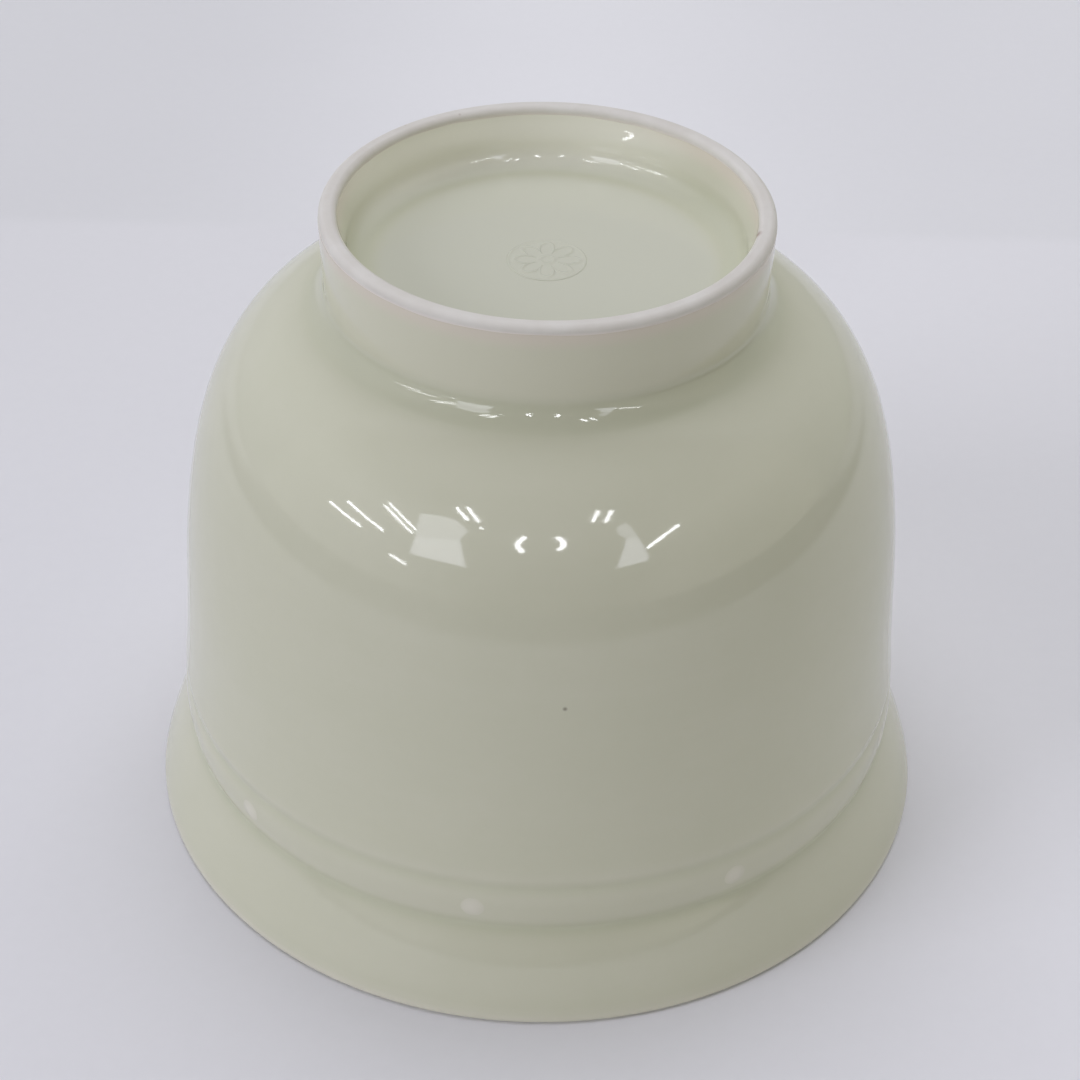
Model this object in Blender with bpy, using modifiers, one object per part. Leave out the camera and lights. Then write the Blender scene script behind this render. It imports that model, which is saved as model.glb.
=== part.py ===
"""A celadon porcelain rice bowl, turned mouth down so that it rests on its rim.

The origin is the centre of the mouth, +Z is the bowl's turning axis, and the foot is on top.
The foot ring, its bare edge, the sprigged bosses and the seal are laid on the thrown body.
"""

import math

import bmesh
import bpy

MM = 0.001

# The whole bowl.
MOUTH_RADIUS = 55.0 * MM
HEIGHT = 90.7 * MM
WALL = 3.2 * MM
GAP = 0.3 * MM

# The lip, which flares out below the girdle in a slightly rounded cone.
LIP_EDGE_RADIUS = 0.7 * MM
LIP_LAND = 0.8 * MM
LIP_ROOT_LEAN = 28.0
LIP_EDGE_LEAN = 14.0
LIP_PULL = 4.0 * MM

# The girdle, a low bead between two tooled lines.
LOWER_LINE = (50.05 * MM, 13.1 * MM)
BEAD = (50.6 * MM, 16.6 * MM)
UPPER_LINE = (50.1 * MM, 20.0 * MM)
BEAD_PULL = 1.3 * MM
BEAD_SIDE_LEAN = 20.0

# The wall, from the girdle over the waist to the shoulder where the foot ring sits.
# A lean is measured from upright, towards the axis.
WALL_START = (50.3 * MM, 21.6 * MM)
WALL_START_LEAN = 7.0
WALL_START_PULL = 12.0 * MM
WAIST = (47.0 * MM, 54.0 * MM)
WAIST_LEAN = 11.0
WAIST_PULL_BELOW = 12.0 * MM
WAIST_PULL_ABOVE = 11.0 * MM
SHOULDER = (30.6 * MM, 77.4 * MM)
SHOULDER_LEAN = 66.0
SHOULDER_PULL = 11.0 * MM

# The well inside the foot, and the seat that the foot ring is luted to.
WELL_HEIGHT = 82.7 * MM
WELL_RADIUS = 22.1 * MM
SEAT_STEP_INNER = 1.5 * MM
SEAT_STEP_OUTER = 1.7 * MM

# The food side.
FLOOR_THICKNESS = 4.5 * MM
INNER_START = (46.9 * MM, 15.6 * MM)
INNER_LIP_PULL = 4.2 * MM
INNER_SHOULDER_PULL = 15.0 * MM
INNER_FLOOR_PULL = 26.0 * MM

# The foot ring.
FOOT_OUTER_RADIUS = 28.85 * MM
FOOT_INNER_RADIUS = 26.5 * MM
FOOT_ROOT = (28.4 * MM, 79.9 * MM)
FOOT_TAPER = 2.5
FILLET_PULL_UP = 1.4 * MM
FILLET_PULL_DOWN = 2.1 * MM
WELL_CORNER_RADIUS = 25.4 * MM
WELL_FILLET_RADIUS = 3.0 * MM

# The bare edge of the foot, wiped clean of glaze.
EDGE_THICKNESS = 0.75 * MM
EDGE_OUTER_ROUND = 0.35 * MM
EDGE_INNER_ROUND = 0.3 * MM
EDGE_INSET = 0.1 * MM

# The sprigged bosses on the girdle.
BOSS_COUNT = 9
BOSS_RADIUS = 1.75 * MM
BOSS_CROWN = 0.5 * MM
BOSS_SKIRT = 0.2 * MM
BOSS_FIRST_AZIMUTH = -139.0

# The plain rosette seal pressed on in the middle of the well.
SEAL_RADIUS = 5.2 * MM
SEAL_LOBES = 8
SEAL_LOBE_DEPTH = 0.5 * MM
SEAL_NOTCH_SHARPNESS = 3
SEAL_THICKNESS = 0.4 * MM
SEAL_POINTS_PER_LOBE = 6

# How finely the solids are faceted.
TURNS = 48
BOSS_TURNS = 14
SHOULDER_STEPS = 8
WALL_STEPS = 6
BEAD_STEPS = 3
LIP_STEPS = 6
EDGE_STEPS = 4
FLOOR_STEPS = 9
MERGE = 0.00001

# Linear base colours.
CELADON = (0.42, 0.43, 0.33)
PALE_CELADON = (0.52, 0.53, 0.45)
BARE_PORCELAIN = (0.62, 0.57, 0.54)
GLOSSY = 0.12
MATT = 0.62
GLAZE_COAT = 0.6


# Directions in the (r, z) plane of an outline.
UP = (0.0, 1.0)
OUTWARD = (1.0, 0.0)


def clear_scene():
    for item in list(bpy.data.objects):
        bpy.data.objects.remove(item, do_unlink=True)


def new_collection(name):
    collection = bpy.data.collections.new(name)
    bpy.context.scene.collection.children.link(collection)
    return collection


def ceramic(name, colour, roughness, coat):
    material = bpy.data.materials.new(name)
    material.use_nodes = True
    shader = material.node_tree.nodes["Principled BSDF"]
    shader.inputs["Base Color"].default_value = (*colour, 1.0)
    shader.inputs["Metallic"].default_value = 0.0
    shader.inputs["Roughness"].default_value = roughness
    shader.inputs["Coat Weight"].default_value = coat
    material.diffuse_color = (*colour, 1.0)
    return material


def lean(degrees):
    """The unit direction in (r, z) that leans from upright towards the axis."""
    turn = math.radians(degrees)
    return -math.sin(turn), math.cos(turn)


def step(point, direction, length):
    return point[0] + direction[0] * length, point[1] + direction[1] * length


def cubic(start, start_handle, end_handle, end, count):
    """Points after start, up to and with end, on a cubic curve."""
    points = []
    for index in range(1, count + 1):
        t = index / count
        weights = ((1 - t) ** 3, 3 * (1 - t) ** 2 * t, 3 * (1 - t) * t * t, t**3)
        corners = (start, start_handle, end_handle, end)
        r = sum(w * c[0] for w, c in zip(weights, corners))
        z = sum(w * c[1] for w, c in zip(weights, corners))
        points.append((r, z))
    return points


def arc(centre, radius, start, end, count):
    """Points on an arc, from start to end in degrees, both ends included."""
    points = []
    for index in range(count + 1):
        turn = math.radians(start + (end - start) * index / count)
        points.append((centre[0] + radius * math.cos(turn), centre[1] + radius * math.sin(turn)))
    return points


def turned(name, outline, turns, ring, material, collection):
    """A turned solid. Its outline runs down the outer side, and a ring's closes on itself."""
    mesh = bpy.data.meshes.new(name)
    shape = bmesh.new()
    corners = [shape.verts.new((r, 0.0, z)) for r, z in outline]
    for first, second in zip(corners, corners[1:]):
        shape.edges.new((first, second))
    if ring:
        shape.edges.new((corners[-1], corners[0]))
    shape.to_mesh(mesh)
    shape.free()
    solid = bpy.data.objects.new(name, mesh)
    collection.objects.link(solid)
    screw = solid.modifiers.new("turned", "SCREW")
    screw.axis = "Z"
    screw.angle = math.tau
    screw.steps = turns
    screw.render_steps = turns
    screw.use_merge_vertices = True
    screw.merge_threshold = MERGE
    screw.use_smooth_shade = True
    mesh.materials.append(material)
    return solid


def wall_outline():
    """The outside of the wall, from the shoulder down to the girdle."""
    to_waist = step(SHOULDER, lean(SHOULDER_LEAN), -SHOULDER_PULL)
    above_waist = step(WAIST, lean(WAIST_LEAN), WAIST_PULL_ABOVE)
    below_waist = step(WAIST, lean(WAIST_LEAN), -WAIST_PULL_BELOW)
    to_start = step(WALL_START, lean(WALL_START_LEAN), WALL_START_PULL)
    points = [SHOULDER]
    points += cubic(SHOULDER, to_waist, above_waist, WAIST, SHOULDER_STEPS)
    points += cubic(WAIST, below_waist, to_start, WALL_START, WALL_STEPS)
    return points


def girdle_outline():
    """The upper tooled line, the bead and the lower tooled line."""
    points = [UPPER_LINE]
    upper_side = step(UPPER_LINE, lean(BEAD_SIDE_LEAN), -BEAD_PULL)
    lower_side = step(LOWER_LINE, lean(-BEAD_SIDE_LEAN), BEAD_PULL)
    bead_up = step(BEAD, UP, BEAD_PULL)
    bead_down = step(BEAD, UP, -BEAD_PULL)
    points += cubic(UPPER_LINE, upper_side, bead_up, BEAD, BEAD_STEPS)
    points += cubic(BEAD, bead_down, lower_side, LOWER_LINE, BEAD_STEPS)
    return points


def lip_outline():
    """The outside of the lip, its rounded edge and the flat land that the mouth rests on."""
    outer_centre = (MOUTH_RADIUS - LIP_EDGE_RADIUS, LIP_EDGE_RADIUS)
    inner_centre = (outer_centre[0] - LIP_LAND, LIP_EDGE_RADIUS)
    edge = arc(outer_centre, LIP_EDGE_RADIUS, LIP_EDGE_LEAN, -90.0, EDGE_STEPS)
    root_down = step(LOWER_LINE, lean(LIP_ROOT_LEAN), -LIP_PULL)
    edge_up = step(edge[0], lean(LIP_EDGE_LEAN), LIP_PULL)
    points = cubic(LOWER_LINE, root_down, edge_up, edge[0], LIP_STEPS)
    points += edge
    points += arc(inner_centre, LIP_EDGE_RADIUS, -90.0, -180.0, EDGE_STEPS)
    return points


def inside_outline(lip_inner):
    """The food side, from the inner edge of the lip up to the middle of the floor."""
    shoulder = (WAIST[0] - WALL, WAIST[1])
    floor = (0.0, WELL_HEIGHT - FLOOR_THICKNESS)
    lip_up = step(lip_inner, UP, INNER_LIP_PULL)
    start_down = step(INNER_START, UP, -INNER_LIP_PULL)
    start_up = step(INNER_START, UP, WALL_START_PULL)
    waist_down = step(shoulder, lean(WAIST_LEAN), -WAIST_PULL_BELOW)
    waist_up = step(shoulder, lean(WAIST_LEAN), INNER_SHOULDER_PULL)
    floor_side = step(floor, OUTWARD, INNER_FLOOR_PULL)
    points = cubic(lip_inner, lip_up, start_down, INNER_START, LIP_STEPS)
    points += cubic(INNER_START, start_up, waist_down, shoulder, EDGE_STEPS)
    points += cubic(shoulder, waist_up, floor_side, floor, FLOOR_STEPS)
    return points


def seat_ends():
    """The two ends of the sloping seat that the foot ring is luted to."""
    inner = (WELL_RADIUS, WELL_HEIGHT - SEAT_STEP_INNER)
    outer = (SHOULDER[0], SHOULDER[1] - SEAT_STEP_OUTER)
    return inner, outer


def build_body(material, collection):
    outline = [(0.0, WELL_HEIGHT), (WELL_RADIUS, WELL_HEIGHT)]
    outline += seat_ends()
    outline += wall_outline()
    outline += girdle_outline()
    outline += lip_outline()
    outline += inside_outline(outline[-1])
    return turned("bowl_body", outline, TURNS, False, material, collection)


def above_seat(radius):
    """The height of the ring's underside, one gap clear of the seat, at a radius."""
    inner, outer = seat_ends()
    run = outer[0] - inner[0]
    drop = inner[1] - outer[1]
    rise = GAP * math.hypot(run, drop) / run
    return inner[1] + rise - (radius - inner[0]) * drop / run


def foot_ring_outline():
    top = HEIGHT - EDGE_THICKNESS - GAP
    outer_top = (FOOT_OUTER_RADIUS, top)
    toe = (SHOULDER[0] - GAP, SHOULDER[1] + GAP * math.tan(math.radians(90.0 - SHOULDER_LEAN)))
    inner_toe = WELL_RADIUS + GAP
    side_pull = (top - FOOT_ROOT[1]) / 3
    outer_side = step(outer_top, UP, -side_pull)
    root_side = step(FOOT_ROOT, lean(-FOOT_TAPER), side_pull)
    points = [outer_top]
    points += cubic(outer_top, outer_side, root_side, FOOT_ROOT, EDGE_STEPS)
    fillet_up = step(FOOT_ROOT, lean(-FOOT_TAPER), -FILLET_PULL_UP)
    fillet_down = step(toe, lean(SHOULDER_LEAN), FILLET_PULL_DOWN)
    points += cubic(FOOT_ROOT, fillet_up, fillet_down, toe, WALL_STEPS)
    points.append((toe[0], above_seat(toe[0])))
    points.append((inner_toe, above_seat(inner_toe)))
    fillet_centre = (WELL_CORNER_RADIUS - WELL_FILLET_RADIUS, WELL_HEIGHT + WELL_FILLET_RADIUS)
    points += arc(fillet_centre, WELL_FILLET_RADIUS, -90.0, 0.0, EDGE_STEPS)
    points.append((FOOT_INNER_RADIUS, top))
    return points


def build_foot_ring(material, collection):
    return turned("foot_ring", foot_ring_outline(), TURNS, True, material, collection)


def build_foot_edge(material, collection):
    outer = FOOT_OUTER_RADIUS - EDGE_INSET
    inner = FOOT_INNER_RADIUS + EDGE_INSET
    bottom = HEIGHT - EDGE_THICKNESS
    outer_centre = (outer - EDGE_OUTER_ROUND, HEIGHT - EDGE_OUTER_ROUND)
    inner_centre = (inner + EDGE_INNER_ROUND, HEIGHT - EDGE_INNER_ROUND)
    points = arc(outer_centre, EDGE_OUTER_ROUND, 90.0, 0.0, BEAD_STEPS)
    points += [(outer, bottom), (inner, bottom)]
    points += arc(inner_centre, EDGE_INNER_ROUND, 180.0, 90.0, BEAD_STEPS)
    return turned("foot_edge", points, TURNS, True, material, collection)


def boss_outline():
    """A low button: a short skirt under a spherical crown."""
    sphere = (BOSS_RADIUS**2 + BOSS_CROWN**2) / (2 * BOSS_CROWN)
    rim = math.degrees(math.acos(BOSS_RADIUS / sphere))
    centre = (0.0, BOSS_SKIRT + BOSS_CROWN - sphere)
    return arc(centre, sphere, 90.0, rim, EDGE_STEPS) + [(BOSS_RADIUS, 0.0), (0.0, 0.0)]


def build_bosses(material, collection):
    bosses = []
    reach = BEAD[0] + GAP
    for index in range(BOSS_COUNT):
        turn = math.radians(BOSS_FIRST_AZIMUTH + index * 360.0 / BOSS_COUNT)
        boss = turned(f"boss_{index + 1:02d}", boss_outline(), BOSS_TURNS, False, material, collection)
        boss.location = (reach * math.cos(turn), reach * math.sin(turn), BEAD[1])
        boss.rotation_euler = (0.0, math.pi / 2, turn)
        bosses.append(boss)
    return bosses


def build_seal(material, collection):
    """A rosette with soft lobes, lying a gap above the floor of the well."""
    curve = bpy.data.curves.new("foot_seal", "CURVE")
    curve.dimensions = "2D"
    curve.fill_mode = "BOTH"
    curve.extrude = SEAL_THICKNESS / 2
    count = SEAL_LOBES * SEAL_POINTS_PER_LOBE
    outline = curve.splines.new("POLY")
    outline.points.add(count - 1)
    for index, point in enumerate(outline.points):
        turn = math.tau * index / count
        notch = abs(math.cos(SEAL_LOBES * turn / 2)) ** SEAL_NOTCH_SHARPNESS
        radius = SEAL_RADIUS - SEAL_LOBE_DEPTH * notch
        point.co = (radius * math.cos(turn), radius * math.sin(turn), 0.0, 1.0)
    outline.use_cyclic_u = True
    seal = bpy.data.objects.new("foot_seal", curve)
    seal.location = (0.0, 0.0, WELL_HEIGHT + GAP + SEAL_THICKNESS / 2)
    curve.materials.append(material)
    collection.objects.link(seal)
    return seal


def main():
    clear_scene()
    bowl = new_collection("rice_bowl")
    celadon = ceramic("celadon_glaze", CELADON, GLOSSY, GLAZE_COAT)
    pale_celadon = ceramic("pale_celadon_glaze", PALE_CELADON, GLOSSY, GLAZE_COAT)
    bare_porcelain = ceramic("bare_porcelain", BARE_PORCELAIN, MATT, 0.0)
    axis = bpy.data.objects.new("turning_axis", None)
    bowl.objects.link(axis)
    pieces = [
        build_body(celadon, bowl),
        build_foot_ring(celadon, bowl),
        build_foot_edge(bare_porcelain, bowl),
        build_seal(celadon, bowl),
    ]
    pieces += build_bosses(pale_celadon, bowl)
    for piece in pieces:
        piece.parent = axis


main()
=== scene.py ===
"""The looks of a celadon porcelain rice bowl that stands mouth down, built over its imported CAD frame.

The glazed skin, the bare foot edge, the sprigged bosses and the rosette seal each stand for a
CAD node. All of them are turned or laid on one smooth outline of the bowl, in the row frame:
+Z is the turning axis, the mouth rests on z = 0 and the foot is on top.
"""

import math

import bpy
import numpy as np
from mathutils import Matrix, Vector

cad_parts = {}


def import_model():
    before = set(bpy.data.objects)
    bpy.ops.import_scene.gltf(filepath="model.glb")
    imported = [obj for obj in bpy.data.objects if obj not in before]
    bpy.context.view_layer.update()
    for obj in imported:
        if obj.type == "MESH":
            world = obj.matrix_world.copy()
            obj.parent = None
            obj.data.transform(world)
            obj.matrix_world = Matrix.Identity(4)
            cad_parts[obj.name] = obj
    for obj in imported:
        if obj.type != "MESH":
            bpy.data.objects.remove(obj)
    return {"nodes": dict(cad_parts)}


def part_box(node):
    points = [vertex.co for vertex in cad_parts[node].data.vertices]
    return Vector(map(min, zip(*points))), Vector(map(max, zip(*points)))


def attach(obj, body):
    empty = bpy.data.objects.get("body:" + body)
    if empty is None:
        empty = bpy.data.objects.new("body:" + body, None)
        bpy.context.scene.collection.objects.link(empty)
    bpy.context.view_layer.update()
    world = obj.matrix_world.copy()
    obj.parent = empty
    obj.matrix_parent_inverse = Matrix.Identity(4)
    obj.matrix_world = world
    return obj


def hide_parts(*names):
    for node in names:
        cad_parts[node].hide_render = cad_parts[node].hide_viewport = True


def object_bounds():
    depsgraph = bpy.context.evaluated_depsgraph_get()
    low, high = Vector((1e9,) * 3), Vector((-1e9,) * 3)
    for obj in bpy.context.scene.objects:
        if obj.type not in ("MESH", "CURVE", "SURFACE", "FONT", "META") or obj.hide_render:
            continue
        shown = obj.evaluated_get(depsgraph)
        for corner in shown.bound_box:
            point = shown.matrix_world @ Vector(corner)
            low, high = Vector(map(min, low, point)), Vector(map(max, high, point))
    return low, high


MM = 0.001

# The wall's outline, in (r, z). A lean is measured from upright, towards the axis.
LIP_EDGE_RADIUS = 0.7 * MM
LIP_LAND = 0.8 * MM
LIP_ROOT_LEAN = 28.0
LIP_EDGE_LEAN = 14.0
LIP_PULL = 4.0 * MM
LOWER_LINE = (50.05 * MM, 13.1 * MM)
BEAD = (50.6 * MM, 16.6 * MM)
UPPER_LINE = (50.1 * MM, 20.0 * MM)
BEAD_PULL = 1.3 * MM
BEAD_SIDE_LEAN = 20.0
WALL_START = (50.3 * MM, 21.6 * MM)
WALL_START_LEAN = 7.0
WALL_START_PULL = 12.0 * MM
WAIST = (47.0 * MM, 54.0 * MM)
WAIST_LEAN = 11.0
WAIST_PULL_BELOW = 12.0 * MM
WAIST_PULL_ABOVE = 11.0 * MM
SHOULDER = (31.0 * MM, 76.95 * MM)
SHOULDER_LEAN = 68.0
SHOULDER_PULL = 10.5 * MM

# The food side.
WALL = 3.2 * MM
FLOOR_THICKNESS = 4.5 * MM
INNER_START = (46.9 * MM, 15.6 * MM)
INNER_LIP_PULL = 4.2 * MM
INNER_SHOULDER_PULL = 15.0 * MM
INNER_FLOOR_PULL = 26.0 * MM

# The foot ring and the well inside it.
WELL_FILLET_RADIUS = 3.0 * MM
WELL_CORNER_INSET = 1.1 * MM
WELL_TAPER = 12.0
FOOT_ROOT_INSET = 0.35 * MM
FOOT_ROOT_DROP = 10.5 * MM
FOOT_TAPER = 2.0
FOOT_SIDE_PULL = 3.0 * MM
FILLET_PULL_UP = 1.1 * MM
FILLET_PULL_DOWN = 1.4 * MM
RIM_WIDTH = 2.35 * MM
EDGE_INSET = 0.1 * MM
GLAZE_STEP = 0.03 * MM
EDGE_OUTER_ROUND = 0.9 * MM
EDGE_INNER_ROUND = 0.8 * MM
EDGE_ROOT = 1.4 * MM
SEAT_DEPTH = 1.2 * MM
SEAT_CLEARANCE = 0.1 * MM
GLAZE_TOP_INSET = 0.05 * MM
SEAL_GAP = 0.3 * MM

# The glaze's rolled end at the top of the foot, and the waves of its line: (count, start, weight).
GLAZE_ROLL = 0.22 * MM
ROLL_SIDE = 0.6
ROLL_UP = 0.8
GLAZE_LINE_WANDER = 0.12 * MM
GLAZE_LINE_REACH = 1.2 * MM
GLAZE_LINE_WAVES = ((3, 0.7, 1.0), (8, 2.0, 0.7), (19, 0.0, 0.4))

# The bosses and the seal, low reliefs with soft skirts.
BEAD_MARGIN = 2.0 * MM
BOSS_SKIRT_RATIO = 1.1
BOSS_RISE = 0.14 * MM
SEAL_MARGIN = 1.04
SEAL_RISE = 0.12 * MM
SEAL_SKIRT = 0.04
RELIEF_SINK = 0.02 * MM
RELIEF_BACK = 0.5 * MM

# The rosette's raised lines, in shares of its radius.
SEAL_PETALS = 8
SEAL_CIRCLES = (0.95, 0.17)
CIRCLE_WIDTH = 0.05
PETAL_ROOT = 0.34
PETAL_LENGTH = 0.44
PETAL_ROUNDNESS = 0.6
PETAL_WIDTH = 0.06
VEIN_START = 0.3
VEIN_WIDTH = 0.03
VEIN_RISE = 0.5

# How glaze softens, pools and thins on an outline.
OUTLINE_STEP = 0.05 * MM
GLAZE_SOFTENING = 0.32 * MM
POOL_SPREAD = 0.6 * MM
POOL_CURVATURE = 800.0
FLAT_CURVATURE = 1.0

# Mesh fineness.
TURNS = 240
LONGEST_STEP = 1.1 * MM
SHORTEST_STEP = 0.12 * MM
STEP_TURN = 0.05
BOSS_RINGS = 14
BOSS_TURNS = 56
SEAL_RINGS = 64
SEAL_TURNS = 256
CURVE_POINTS = 160
ARC_POINTS = 40
AXIS_REACH = 0.0005 * MM

# Directions in the (r, z) plane of an outline.
UP = (0.0, 1.0)
OUTWARD = (1.0, 0.0)

# The camera stands in front of the bowl and looks down into its foot. Its place is in mouth radii,
# its angles are in degrees, and its lens and sensor are in millimetres.
CAMERA_SIDE = -0.0028
CAMERA_BACK = 4.6614
CAMERA_HEIGHT = 4.2716
CAMERA_PITCH = 37.583
CAMERA_ROLL = 1.128
CAMERA_LENS = 77.29
SENSOR = 36.0

# Glaze depth runs from 0, thin over an edge, to 1, pooled in a hollow.
EVEN_DEPTH = 0.5
ROLL_DEPTH = 0.2

# The glaze's colours. The pale one is the even colour of the bosses.
THIN_GLAZE = (0.68, 0.66, 0.555)
EVEN_GLAZE = (0.58, 0.58, 0.445)
DEEP_GLAZE = (0.50, 0.52, 0.365)
PALE_GLAZE = (0.60, 0.595, 0.47)
GLAZE_IOR = 1.52

# Where the glaze is laid paler: the foot and the well's floor.
# The back of the well's wall is painted lighter: painted light where the lamps fall on it.
# Depths are taken down from the bare line, and the other lengths from the axis or the mouth.
FOOT_GLAZE = (0.635, 0.63, 0.49, 1.0)
FOOT_THIN_START = 79.0 * MM
FOOT_THIN_FULL = 81.5 * MM
WELL_FLOOR_GLAZE = (0.585, 0.59, 0.475, 1.0)
WELL_FLOOR_DEPTH = 9.0 * MM
WELL_FLOOR_FULL = 20.5 * MM
WELL_FLOOR_END = 23.0 * MM
# Painted light: the back of the well's wall is coloured lighter where the lamps fall on it.
WELL_WALL_PAINTED_LIGHT = (0.80, 0.795, 0.67, 1.0)
WELL_WALL_DEPTH = 6.4 * MM
WELL_WALL_START = 22.0 * MM
WELL_WALL_FULL = 25.5 * MM
WELL_WALL_END = 27.0 * MM
WELL_BACK_SKEW = 0.35
WELL_BACK_START = 6.0 * MM
WELL_BACK_FULL = 26.0 * MM
MASK_BLUR = 1.0 * MM

# The warm flash where the glaze ends.
FLASH = (0.69, 0.62, 0.525, 1.0)
FLASH_REACH = 2.6 * MM
FLASH_STRENGTH = 0.8

# A noise is its scale, detail and roughness. An amount is how far it moves a value.
MOTTLE = (75.0, 3.0, 0.55)
MOTTLE_AMOUNT = 0.14
GRAIN = (620.0, 2.0, 0.5)
GRAIN_AMOUNT = 0.05
THROWN_RINGS = (1.0, 3.0, 0.6)
THROWN_RINGS_SCALE = (16.0, 16.0, 260.0)
THROWN_RINGS_AMOUNT = 0.1
THROWN_RINGS_HEIGHT = 0.01 * MM
GLAZE_WAVE = (62.0, 1.0, 0.5)
GLAZE_WAVE_HEIGHT = 0.028 * MM
WELL_WAVE = (170.0, 2.0, 0.5)
WELL_WAVE_HEIGHT = 0.025 * MM
GLAZE_SKIN = (900.0, 1.0, 0.5)
GLAZE_SKIN_HEIGHT = 0.0012 * MM
GLAZE_ROUGHNESS = 0.055
GLAZE_HAZE = (210.0, 3.0, 0.5)
GLAZE_HAZE_AMOUNT = 0.03

# Iron flecks in the glaze, and the one speck on the front of the wall.
IRON = (0.12, 0.10, 0.07, 1.0)
FLECK_CELLS = 150.0
FLECK_SHARPNESS = 28.0
FLECK_LIMIT = 0.9
FLECK_STRENGTH = 0.3
SPECK_AZIMUTH = -86.1
SPECK_HEIGHT = 48.8 * MM
SPECK_REACH = 47.9 * MM
SPECK_RADIUS = 0.38 * MM
SPECK_STRENGTH = 0.65
SPOT_FULLNESS = 1.35

# A brown stain on the inner side of the foot.
STAIN = (0.27, 0.17, 0.12, 1.0)
STAIN_AZIMUTH = -12.5
STAIN_REACH = 26.55 * MM
STAIN_RISE = 0.55 * MM
STAIN_RADIUS = 0.95 * MM
STAIN_GRAIN = (1500.0, 3.0, 0.6)
STAIN_EVEN_SHARE = 0.4

# The bare porcelain.
BARE_DARK = (0.62, 0.59, 0.53)
BARE_LIGHT = (0.68, 0.66, 0.605)
BARE_CLOUD = (160.0, 3.0, 0.6)
BARE_CLOUD_DARK = 0.3
BARE_CLOUD_LIGHT = 0.7
BARE_FLASH = (0.79, 0.74, 0.68, 1.0)
BARE_FLASH_REACH = 0.5 * MM
BARE_ROUGHNESS = 0.62
BARE_ROUGHNESS_AMOUNT = 0.2
BARE_GRAIN = (2600.0, 3.0, 0.7)
BARE_GRAIN_HEIGHT = 0.02 * MM
BARE_WAVE = (300.0, 2.0, 0.5)
BARE_WAVE_HEIGHT = 0.03 * MM
DUST_CELLS = 420.0
DUST_SHARPNESS = 9.0
DUST_LIMIT = 0.86
DUST_STRENGTH = 0.35

# Half the floor's width, in mouth radii.
FLOOR_REACH = 60.0

# The floor board, the sheet behind it and the dim room past them, in metres from the bowl's axis.
# The dim room's floor is painted dark: painted shade.
# The board's near colour is a little darker than its far one: painted shade towards the front.
BOARD_NEAR_WITH_PAINTED_SHADE = (0.73, 0.725, 0.735, 1.0)
BOARD_FAR = (0.745, 0.74, 0.74, 1.0)
BOARD_FRONT = -0.11
BOARD_BACK = 0.151
# The board is painted lighter to the right: painted light.
BOARD_PAINTED_LIGHT_REACH = 0.12
BOARD_PAINTED_LIGHT_GAIN = 0.07
BOARD_CLOUD = (9.0, 3.0, 0.5)
BOARD_CLOUD_AMOUNT = 0.07
BOARD_FIBRE = (420.0, 3.0, 0.6)
BOARD_FIBRE_AMOUNT = 0.03
BOARD_FIBRE_HEIGHT = 0.02 * MM
BOARD_ROUGHNESS = 0.62
BOARD_ROUGHNESS_AMOUNT = 0.16
BOARD_SPECULAR = 0.25
BACK_SHEET = (0.715, 0.713, 0.71, 1.0)
SHEET_EDGE_BLUR = 0.003
# Painted light: the back sheet is coloured lighter in its middle, a painted pool of light.
SHEET_PAINTED_LIGHT = 0.1
SHEET_PAINTED_LIGHT_REACH = 0.09
DIM_FLOOR_PAINTED_SHADE = (0.16, 0.16, 0.165, 1.0)
DIM_START = 0.29
DIM_FULL = 0.38
DIM_BACK_START = 0.3
DIM_BACK_FULL = 0.1

# The room round the bowl. Its limits are parts of a unit direction.
BACK_WALL_START = 0.08
BACK_WALL_FULL = 0.2
CEILING_START = 0.5
CEILING_FULL = 0.85
LEFT_START = -0.2
LEFT_FULL = -0.8
RIGHT_START = 0.3
RIGHT_FULL = 0.8
BACK_LEFT = (0.48, 0.49, 0.51, 1.0)
BACK_MIDDLE = (0.38, 0.38, 0.37, 1.0)
BACK_RIGHT = (0.56, 0.58, 0.55, 1.0)
BACK_CEILING = (0.45, 0.45, 0.46, 1.0)
FRONT_LEFT = (0.68, 0.68, 0.67, 1.0)
FRONT_MIDDLE = (0.28, 0.27, 0.245, 1.0)
FRONT_RIGHT = (0.79, 0.77, 0.68, 1.0)
FRONT_CEILING = (0.04, 0.04, 0.04, 1.0)

# The lamps and windows stand in (elevation, azimuth) directions seen from the bowl's shoulder.
LIGHT_TARGET = (0.0, -0.037, 0.068)
LAMP_DISTANCE = 2.6
LAMP_COLOUR = (0.95, 0.96, 1.0)
WINDOW_COLOUR = (0.96, 0.97, 1.06, 1.0)
FILL_COLOUR = (0.98, 0.985, 1.13)

# Tubes: a name, both ends and a width in degrees.
TUBE_RADIANCE = 24.0
TUBES = (
    ("tube_left_1", (17.3, -73.8), (16.0, -60.2), 0.9),
    ("tube_left_2", (23.0, -68.9), (19.6, -52.7), 0.9),
    ("tube_left_3", (31.9, -58.2), (24.5, -43.5), 0.7),
    ("tube_left_4", (34.1, -57.4), (27.0, -43.2), 0.7),
    ("tube_left_5", (10.4, -47.7), (9.2, -41.9), 0.6),
    ("tube_front_1", (46.6, -35.6), (40.8, -28.4), 1.05),
    ("tube_front_2", (48.7, -31.8), (41.3, -24.2), 1.05),
    ("tube_front_3", (38.4, -22.8), (37.7, -21.4), 0.9),
    ("tube_right_1", (23.4, 35.0), (29.7, 48.7), 1.2),
    ("tube_right_2", (50.3, 24.8), (43.8, 20.3), 1.05),
    ("tube_right_3", (48.9, 30.0), (42.6, 25.1), 1.05),
)

# The two halves of a round lamp.
RING_RADIANCE = 22.0
RING_WIDTH = 1.6
RING_LEFT = ((36.2, -5.6), (34.0, -7.6), (31.7, -8.2), (29.2, -7.6), (27.4, -6.0))
RING_RIGHT = ((36.6, 5.5), (34.8, 7.2), (32.4, 7.9), (30.2, 7.4), (28.9, 5.6))

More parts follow.
